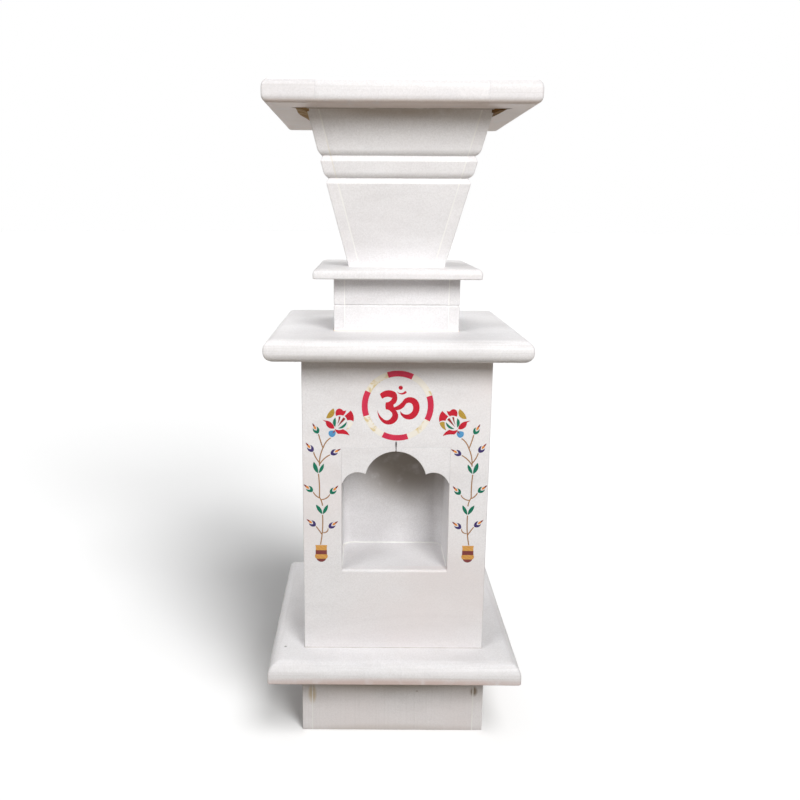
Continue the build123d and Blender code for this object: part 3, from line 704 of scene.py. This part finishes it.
class VRINDAVAN_OT_plinth(Operator):
    """Add the four plinth boards"""

    bl_idname = "vrindavan.plinth"
    bl_label = "Plinth"

    def execute(self, context):
        seam = PLINTH_HALF - BOARD
        marks = [
            ((-seam, -PLINTH_HALF, 0.050), (6.5 * MM, 9.0 * MM, 17.0 * MM), GOLDEN_STAIN, 0.75),
            ((seam + MM, -PLINTH_HALF, 0.054), (6.0 * MM, 6.0 * MM, 9.0 * MM), BROWN_STAIN, 0.85),
            ((0.030, -PLINTH_HALF, 0.054), (2.5 * MM, 2.0 * MM, 1.5 * MM), GREY_SPECK, 0.6),
            # Painted shade under the base slab and along the plinth's foot
            *painted_shade_at(PLINTH_TOP, PLINTH_HALF, 0.9, 40.0 * MM),
            *painted_shade_at(0.0, PLINTH_HALF, 0.22),
        ]
        finish = {"warmth": 0.85, "marks": marks, "sawing": UPRIGHT_SAWING}
        for number, side in enumerate(("front", "back", "left", "right")):
            node = f"plinth_{side}"
            board(node, marble(node, (0.4 + 2.3 * number, 9.0, 0.0), 0.9 * number, 0.0, **finish))
        return {"FINISHED"}


class VRINDAVAN_OT_pedestal(Operator):
    """Add the pedestal: its front panel with the inlay's pockets, the arch plate and three plain boards"""

    bl_idname = "vrindavan.pedestal"
    bl_label = "Pedestal"

    def execute(self, context):
        for number, side in enumerate(("back", "left", "right")):
            node = f"pedestal_{side}"
            board(node, marble(node, (12.0 + 2.3 * number, 2.0, 0.0), 0.7 * number, 0.03))
        # The slit painted near black: painted shade in the narrow cut above the arch
        slit_shade = ((0.0, -PEDESTAL_HALF, SLIT_MIDDLE), (1.6 * MM, 5.0 * MM, 5.5 * MM), SLIT_SHADE, 1.0)
        # Painted shade along the top of the front, under the table slab
        marks = [slit_shade, *painted_shade_at(PEDESTAL_HIGH[2], PEDESTAL_HALF, 0.4)]
        front = marble("pedestal_front", (5.2, 3.3, 0.0), 0.2, 0.0, warmth=0.85, marks=marks)
        copied_piece("pedestal_front", front, sizes().inlay_ease)
        copied_piece("arch_plate", marble("arch_plate", (8.8, 1.1, 0.4), 1.1, 0.0), 0.5 * MM)
        return {"FINISHED"}


class VRINDAVAN_OT_niche(Operator):
    """Finish the niche's floor, cheeks, back and ceiling"""

    bl_idname = "vrindavan.niche"
    bl_label = "Niche"

    def execute(self, context):
        # Painted shade over the niche's upper back and ceiling, below the arch; the greyer tone of 0.22 on
        # all the niche's stone is painted shade too
        niche_shade = ((0.020, NICHE_BACK, 0.335), (0.092, 0.050, 0.082), NICHE_SHADE, 0.95)
        for number, part in enumerate(("floor", "left", "right", "back", "ceiling")):
            node = f"niche_{part}"
            material = marble(node, (2.2 * number, 7.0, 0.3), 0.8 * number, 0.22, polish=0.46, marks=[niche_shade])
            copied_piece(node, material, 0.3 * MM)
        return {"FINISHED"}


class VRINDAVAN_OT_neck(Operator):
    """Add the neck's four boards, with the line cut round them and the weep hole"""

    bl_idname = "vrindavan.neck"
    bl_label = "Neck"

    def execute(self, context):
        for number, side in enumerate(("front", "back", "left", "right")):
            node = f"neck_{side}"
            copied_piece(node, marble(node, (20.0 + 3.1 * number, 5.0, 0.0), 0.6 * number, 0.36), 0.4 * MM)
        return {"FINISHED"}


def pot_outer(z):
    """Half the pot's outer width at each level: a straight slope, less two cut lines. Above its deepest place
    a line is a quarter of an ellipse, below it a plain chamfer."""
    size = sizes()
    fine = np.linspace(POT_LOW[2], POT_HIGH[2], 1700)
    half = POT_BASE_HALF + (POT_TOP_HALF - POT_BASE_HALF) * (fine - POT_LOW[2]) / (POT_HIGH[2] - POT_LOW[2])
    for drop in size.pot_line_drops:
        above = (fine - (POT_HIGH[2] - drop)) / (size.pot_line_height / 2)
        lip = 1 - np.sqrt(1 - (1 - np.clip(above, 0.0, 1.0)) ** 2)
        half = half - size.pot_line_depth * np.where(above > 0, lip, np.maximum(1 + above, 0.0))
    # The edges of the lines are worn by a running mean, which leaves the pot's two ends as they are
    window = np.hanning(9)
    worn = np.convolve(half, window / window.sum(), mode="same")
    ends = 20
    worn[:ends], worn[-ends:] = half[:ends], half[-ends:]
    return np.interp(z, fine, worn)


def pot_inner(z):
    """Half the pot's inner width at each level."""
    slope = (POT_TOP_HALF - POT_BASE_HALF) / (POT_HIGH[2] - POT_LOW[2])
    return POT_BASE_HALF + slope * (z - POT_LOW[2]) - POT_WALL


class VRINDAVAN_OT_pot(Operator):
    """Add the pot's four leaning boards with the two lines cut round them"""

    bl_idname = "vrindavan.pot"
    bl_label = "Pot"

    def execute(self, context):
        size = sizes()
        near_line = np.linspace(-9, 9, 37) * MM
        dense = [POT_HIGH[2] - drop + near_line for drop in size.pot_line_drops]
        even = np.arange(POT_LOW[2], POT_HIGH[2], size.step)
        levels = np.unique(np.round(np.concatenate([even, *dense, [POT_HIGH[2]]]), 6))
        outer, inner = pot_outer(levels), pot_inner(levels)
        bounds = {
            "front": (-inner, inner, -outer, -inner),
            "back": (-inner, inner, inner, outer),
            "left": (-outer, -inner, -outer, outer),
            "right": (inner, outer, -outer, outer),
        }
        # Painted shade along the pot's top, under the rim
        marks = painted_shade_at(POT_HIGH[2], POT_TOP_HALF, 0.55)
        for number, (side, sides) in enumerate(bounds.items()):
            node = f"pot_{side}"
            rings = outline_rings(*sides, levels, size.arris, steps_for(*low_high(node)))
            rings = filled_rings(stray_inwards(rings, size.hand_polish * 0.6), 3)
            material = marble(node, (30.0 + 2.7 * number, 1.0, 0.0), 1.3 * number, 0.04, marks=marks)
            stone_skin(node, rings, material, smooth_angle=50)
        return {"FINISHED"}


def fillet_profile(leg):
    """A hollow quarter round of filler: how far each of its points stands out from wall and floor."""
    angle = np.linspace(0.0, pi / 2, 6)
    out = np.concatenate([leg * (1 - np.sin(angle)), [-0.4 * MM, -0.4 * MM]])
    rise = np.concatenate([leg * (1 - np.cos(angle)), [leg, 0.0]])
    return out, rise


def filler_round_foot(name, half, level, upwards, material, leg):
    """A fillet of filler in the corner where a square box meets a slab, carried round the box. Its reach
    wanders along the way."""
    out, rise = fillet_profile(leg)
    steps = (int(half / (1.5 * MM)),) * 2
    side = half + out
    rings = outline_rings(-side, side, -side, side, rise, sizes().arris + np.maximum(out, 0), steps)
    share = 0.55 + 0.45 * waves_at(rings * [1, 1, 0], (0.011, 0.019, 0.034, 0.006), 2.1)
    away = np.maximum(np.abs(rings[..., :2]).max(axis=-1) - half, 0.0)
    rings[..., :2] *= ((half + away * share) / (half + away))[..., None]
    rings[..., 2] = level + (rings[..., 2] * share if upwards else -rings[..., 2] * share)
    skin(name, rings, material, closed=True, smooth_angle=60)


def filler_along(name, path, inward, leg, material):
    """A fillet of filler swept along the foot of a wall; inward points away from the wall at each point."""
    out, rise = fillet_profile(leg)
    share = (0.5 + 0.5 * waves_at(path, (0.007, 0.013, 0.029), 0.8))[:, None, None]
    reach = inward[:, None, :] * out[:, None] + np.array([0, 0, 1.0]) * rise[:, None]
    skin(name, pointed_rings(path[:, None, :] + reach * share), material, smooth_angle=60)


def niche_foot():
    """The line where the niche's walls meet its floor: along the left cheek, round a corner, along the back,
    round the other corner and along the right cheek. Returns the points and the directions into the niche."""
    turn = np.linspace(0.0, pi / 2, 13)
    along = np.arange(-PEDESTAL_HALF + BOARD, NICHE_BACK - NICHE_CORNER, 2 * MM)
    across = np.arange(-NICHE_HALF + NICHE_CORNER, 0.0, 2 * MM)
    x = np.concatenate([along * 0 - NICHE_HALF, NICHE_CORNER * (1 - np.cos(turn)) - NICHE_HALF, across])
    y = np.concatenate([along, NICHE_BACK - NICHE_CORNER * (1 - np.sin(turn)), across * 0 + NICHE_BACK])
    in_x = np.concatenate([along * 0 + 1, np.cos(turn), across * 0])
    in_y = np.concatenate([along * 0, -np.sin(turn), across * 0 - 1])
    left = np.stack([x, y, x * 0 + NICHE_FLOOR], axis=-1)
    inward = np.stack([in_x, in_y, x * 0], axis=-1)
    mirror = np.array([-1.0, 1.0, 1.0])
    return np.concatenate([left, left[::-1] * mirror]), np.concatenate([inward, inward[::-1] * mirror])


# Widths of the lines of filler between the boards of the plinth, the neck and the pot
PLINTH_LINE, NECK_LINE, POT_LINE = 1.6 * MM, 1.2 * MM, 1.9 * MM


def filler_line(name, x, y, z, width, material):
    """A line of filler in the groove between two boards of a face towards -Y or +Y. It wanders in width and
    depth."""
    x, y, z = np.broadcast_arrays(x, y, z)
    wander = waves_at(np.stack([x, y, z], axis=-1), (0.009, 0.021, 0.05), x[0] * 90)
    half = width / 2 * (0.65 + 0.5 * wander)
    outer = y - np.sign(y) * 0.25 * MM * wander
    inner = outer - np.sign(y) * 0.9 * MM
    face, rear = np.minimum(outer, inner), np.maximum(outer, inner)
    rings = outline_rings(x - half, x + half, face, rear, z, 0.2 * MM, (3, 2))
    skin(name, filled_rings(rings, 2), material)


def glue_bead(name, sign, material):
    """Glue pressed out under the rim beside the pot. From the front corner, t = 0, to near the back, t = 1,
    its width falls as (1 - t)^0.7 and its depth as (1 - t)^0.5, both a little uneven."""
    t = np.linspace(0.0, 1.0, 80)
    wall, level = POT_TOP_HALF, POT_HIGH[2]
    path = np.stack([t * 0 + sign * wall, -wall + t * 1.9 * wall, t * 0 + level], axis=-1)
    wander = 0.75 + 0.25 * waves_at(path, (0.05, 0.09, 0.14), 0.4)
    out, rise = fillet_profile(1.0)
    out[-2:] = 0.0
    out = out * (sizes().glue_width * (1 - t) ** 0.7 * wander)[:, None]
    out[:, -2:] = -3 * MM
    drop = rise * (sizes().glue_depth * (1 - t) ** 0.5 * wander)[:, None] - 0.3 * MM
    rings = np.stack([sign * (wall + out), out * 0 + path[:, 1:2], level - drop], axis=-1)
    skin(name, pointed_rings(rings), material, smooth_angle=60, slot="tan_stone")


class VRINDAVAN_OT_filler(Operator):
    """Add the joint filler: fillets round each foot, glue under the rim, and lines between the boards"""

    bl_idname = "vrindavan.filler"
    bl_label = "Joint filler"

    def execute(self, context):
        cement = joint_filler("cement", "filler")
        dusty = joint_filler("dusty_cement", "old_filler")
        resin = joint_filler("resin", "resin")
        leg = sizes().filler_leg
        filler_round_foot("pedestal_foot_filler", PEDESTAL_HALF, PEDESTAL_LOW[2], True, dusty, leg * 0.5)
        filler_round_foot("pedestal_top_filler", PEDESTAL_HALF, PEDESTAL_HIGH[2], False, dusty, leg)
        filler_round_foot("plinth_top_filler", PLINTH_HALF, PLINTH_TOP, False, dusty, leg)
        filler_round_foot("neck_foot_resin", NECK_HALF, TABLE_TOP, True, resin, leg)
        filler_round_foot("neck_top_filler", NECK_HALF, NECK_TOP, False, dusty, leg)
        filler_round_foot("pot_foot_filler", POT_BASE_HALF, COLLAR_TOP, True, cement, leg * 0.7)
        filler_round_foot("pot_top_filler", POT_TOP_HALF, POT_HIGH[2], False, dusty, leg)
        filler_along("niche_foot_filler", *niche_foot(), 1.7 * MM, cement)
        glue_bead("left_glue_bead", -1, glue("left_glue", "glue", (0.33, 0.21, 0.09, 1.0)))
        glue_bead("right_glue_bead", 1, glue("right_glue", "dark_glue", (0.24, 0.13, 0.045, 1.0)))
        for side, sign in (("left", -1), ("right", 1)):
            for end, facing in (("front", -1), ("back", 1)):
                place = f"{end}_{side}"
                z = np.arange(0.5 * MM, PLINTH_TOP, 2 * MM)
                seam = sign * (PLINTH_HALF - BOARD)
                filler_line(f"plinth_{place}_line", seam, facing * PLINTH_HALF, z, PLINTH_LINE, cement)
                z = np.arange(TABLE_TOP, NECK_TOP, 2 * MM)
                seam = sign * (NECK_HALF - BOARD)
                filler_line(f"neck_{place}_line", seam, facing * NECK_HALF, z, NECK_LINE, cement)
                z = np.arange(COLLAR_TOP + MM, POT_HIGH[2], 1.5 * MM)
                seam, face = sign * pot_inner(z), facing * pot_outer(z)
                filler_line(f"pot_{place}_line", seam, face, z, POT_LINE, cement)
        return {"FINISHED"}


# Each kind of inlaid stone: its colour, its second shade, how closely its clouds follow each other per metre,
# and how far they run together in bands
INLAY = {
    "ring_red": ("ring_red", (0.50, 0.015, 0.05, 1.0), 60.0, 0.1),
    "ring_cream": ("cream", (0.70, 0.54, 0.24, 1.0), 75.0, 0.2),
    "om_red": ("red", (0.40, 0.005, 0.02, 1.0), 70.0, 0.1),
    "vine_pot": ("ochre", (0.50, 0.22, 0.05, 1.0), 60.0, 0.6),
    "vine_pot_bands": ("maroon", (0.13, 0.03, 0.035, 1.0), 90.0, 0.4),
    "vine_stems": ("tan", (0.20, 0.09, 0.03, 1.0), 160.0, 0.3),
    "vine_leaves": ("green", (0.0, 0.09, 0.055, 1.0), 80.0, 0.7),
    "green_buds": ("green", (0.0, 0.07, 0.05, 1.0), 90.0, 0.5),
    "purple_buds": ("purple", (0.03, 0.02, 0.07, 1.0), 90.0, 0.2),
    "bud_tips": ("orange", (0.60, 0.17, 0.03, 1.0), 120.0, 0.2),
    "bud_points": ("dark_red", (0.12, 0.012, 0.01, 1.0), 120.0, 0.2),
    "flower_red_petals": ("red", (0.38, 0.005, 0.02, 1.0), 80.0, 0.15),
    "flower_gold_petal": ("gold", (0.34, 0.20, 0.02, 1.0), 70.0, 0.5),
    "left_flower_low_petal": ("cream", (0.72, 0.54, 0.27, 1.0), 70.0, 0.3),
    "right_flower_low_petal": ("gold", (0.34, 0.20, 0.02, 1.0), 70.0, 0.5),
    "flower_pearl_slips": ("pearl", (0.74, 0.72, 0.74, 1.0), 90.0, 0.5),
    "flower_calyx": ("blue", (0.05, 0.20, 0.42, 1.0), 80.0, 0.4),
    "flower_stamens": ("dark_red", (0.30, 0.01, 0.015, 1.0), 90.0, 0.1),
}


class VRINDAVAN_OT_inlay(Operator):
    """Add the inlaid stones: ring, om and both vines, each stone polished and eased at its edge"""

    bl_idname = "vrindavan.inlay"
    bl_label = "Inlay"

    def execute(self, context):
        slots = {part["node"]: part["material_slot"] for part in frame["record"]["subparts"]}
        for part, (shade, second, scale, banded) in INLAY.items():
            nodes = [node for node in slots if node == part or node[node.index("_") + 1:] == part]
            material = inlay_stone(f"inlay_{part}", shade, second, scale, banded)
            for node in nodes:
                copied_piece(node, material, sizes().inlay_ease)
        return {"FINISHED"}


# Where the softboxes point
LIT_POINT = (0.0, 0.0, 0.45)


class VRINDAVAN_OT_stage(Operator):
    """Add the pale floor, the lamps and the camera"""

    bl_idname = "vrindavan.stage"
    bl_label = "Stage"

    def execute(self, context):
        values = context.scene.vrindavan_studio
        context.scene.view_settings.view_transform = "Standard"
        floor = self.add_floor()
        self.add_world(context, values.world_level)
        for name, place, wide, tall, power in (
            ("key_softbox", (0.67, -1.67, 1.53), 0.8, 0.9, values.key_level),
            ("left_softbox", (-1.22, -1.22, 1.65), 0.9, 0.8, values.left_level),
            ("back_softbox", (0.0, 1.2, 2.2), 1.0, 1.0, values.back_level),
        ):
            lamp = self.add_lamp(name, "AREA", place, LIT_POINT)
            lamp.data.shape = "RECTANGLE"
            lamp.data.size = wide
            lamp.data.size_y = tall
            lamp.data.energy = power
            self.light_only(lamp, floor, "EXCLUDE")
        for name, rise, level, softness in (
            ("floor_light_low", radians(28), values.floor_low_level, values.floor_softness),
            ("floor_light_high", radians(58), values.floor_high_level, values.floor_softness),
            ("floor_light_top", radians(90), values.floor_top_level, values.floor_top_softness),
        ):
            place = (sin(values.floor_side) * cos(rise), -cos(values.floor_side) * cos(rise), sin(rise))
            sun = self.add_lamp(name, "SUN", place, (0.0, 0.0, 0.0))
            sun.data.energy = level
            sun.data.angle = softness
            self.light_only(sun, floor, "INCLUDE")
        self.add_camera(context, values)
        return {"FINISHED"}

    def add_floor(self):
        """A wide disc of floor that shows white to the camera and keeps the shadows."""
        reach, count = 30.0, 96
        turn = np.linspace(0, 2 * pi, count, endpoint=False)
        edge = np.stack([reach * np.cos(turn), reach * np.sin(turn), turn * 0], axis=-1)
        mesh = bpy.data.meshes.new("floor")
        mesh.from_pydata(edge.tolist(), [], [tuple(range(count))])
        recipe = Recipe(bpy.data.materials.new("floor"))
        plain = recipe.add("ShaderNodeBsdfDiffuse", {"Color": (0.27, 0.24, 0.20, 1.0)})
        bright = recipe.add("ShaderNodeBsdfDiffuse", {"Color": WHITE})
        lift = recipe.add("ShaderNodeEmission", {"Color": WHITE, "Strength": 0.05})
        shown = recipe.add("ShaderNodeAddShader", {0: bright.outputs[0], 1: lift.outputs[0]})
        shaders = {0: recipe.seen(), 1: plain.outputs[0], 2: shown.outputs[0]}
        mixed = recipe.add("ShaderNodeMixShader", shaders)
        recipe.add("ShaderNodeOutputMaterial", {"Surface": mixed.outputs[0]})
        mesh.materials.append(recipe.owner)
        floor = bpy.data.objects.new("floor", mesh)
        bpy.context.scene.collection.objects.link(floor)
        return floor

    def light_only(self, lamp, floor, state):
        """Light the floor alone with a lamp, or all but the floor."""
        receivers = bpy.data.collections.new(f"{lamp.name}_receivers")
        receivers.objects.link(floor)
        receivers.collection_objects[0].light_linking.link_state = state
        lamp.light_linking.receiver_collection = receivers

    def add_world(self, context, level):
        """An even white room that the camera sees as plain white."""
        recipe = Recipe(bpy.data.worlds.new("room"))
        context.scene.world = recipe.owner
        light = recipe.add("ShaderNodeBackground", {"Color": WHITE, "Strength": level})
        shown = recipe.add("ShaderNodeBackground", {"Color": WHITE, "Strength": 1.0})
        shaders = {0: recipe.seen(), 1: light.outputs[0], 2: shown.outputs[0]}
        mixed = recipe.add("ShaderNodeMixShader", shaders)
        recipe.add("ShaderNodeOutputWorld", {"Surface": mixed.outputs[0]})

    def add_lamp(self, name, kind, place, target):
        """A lamp that looks at a point."""
        lamp = bpy.data.objects.new(name, bpy.data.lights.new(name, kind))
        bpy.context.scene.collection.objects.link(lamp)
        lamp.location = place
        lamp.rotation_euler = (Vector(target) - Vector(place)).to_track_quat("-Z", "Y").to_euler()
        return lamp

    def add_camera(self, context, values):
        """A camera that looks down and leans by the angles given, built from its three axes."""
        down, roll = values.camera_down, values.camera_roll
        ahead = Vector((0.0, cos(down), -sin(down)))
        right = Vector((1.0, 0.0, 0.0))
        up = right.cross(ahead)
        turned_right = cos(roll) * right + sin(roll) * up
        turned_up = -sin(roll) * right + cos(roll) * up
        lens = bpy.data.cameras.new("camera")
        lens.sensor_width = 36.0
        lens.lens = values.lens
        lens.shift_x, lens.shift_y = values.lens_shift
        lens.clip_start = 0.01
        camera = bpy.data.objects.new("camera", lens)
        context.scene.collection.objects.link(camera)
        turn = Matrix((turned_right, turned_up, -ahead)).transposed()
        camera.matrix_world = Matrix.Translation(values.camera_place) @ turn.to_4x4()
        context.scene.camera = camera


OPERATORS = (
    VRINDAVAN_OT_plinth,
    VRINDAVAN_OT_slabs,
    VRINDAVAN_OT_pedestal,
    VRINDAVAN_OT_niche,
    VRINDAVAN_OT_neck,
    VRINDAVAN_OT_pot,
    VRINDAVAN_OT_rim,
    VRINDAVAN_OT_filler,
    VRINDAVAN_OT_inlay,
    VRINDAVAN_OT_stage,
)


class VRINDAVAN_PT_panel(Panel):
    """Lists the steps that finish the planter"""

    bl_label = "Vrindavan"
    bl_space_type = "VIEW_3D"
    bl_region_type = "UI"
    bl_category = "Vrindavan"

    def draw(self, context):
        for operator in OPERATORS:
            self.layout.operator(operator.bl_idname)


PROPERTY_GROUPS = {
    "vrindavan_sizes": StoneSizes,
    "vrindavan_colours": StoneColours,
    "vrindavan_studio": StudioValues,
}


def register():
    for name, group in PROPERTY_GROUPS.items():
        bpy.utils.register_class(group)
        setattr(bpy.types.Scene, name, PointerProperty(type=group))
    for shown in (*OPERATORS, VRINDAVAN_PT_panel):
        bpy.utils.register_class(shown)


def unregister():
    for shown in (VRINDAVAN_PT_panel, *reversed(OPERATORS)):
        bpy.utils.unregister_class(shown)
    for name, group in PROPERTY_GROUPS.items():
        delattr(bpy.types.Scene, name)
        bpy.utils.unregister_class(group)


def main():
    register()
    for operator in OPERATORS:
        group, step = operator.bl_idname.split(".")
        getattr(getattr(bpy.ops, group), step)()


def plain(box):
    """A box as plain lists of numbers."""
    return [[float(v) for v in corner] for corner in box]


if __name__ == "__main__":
    main()
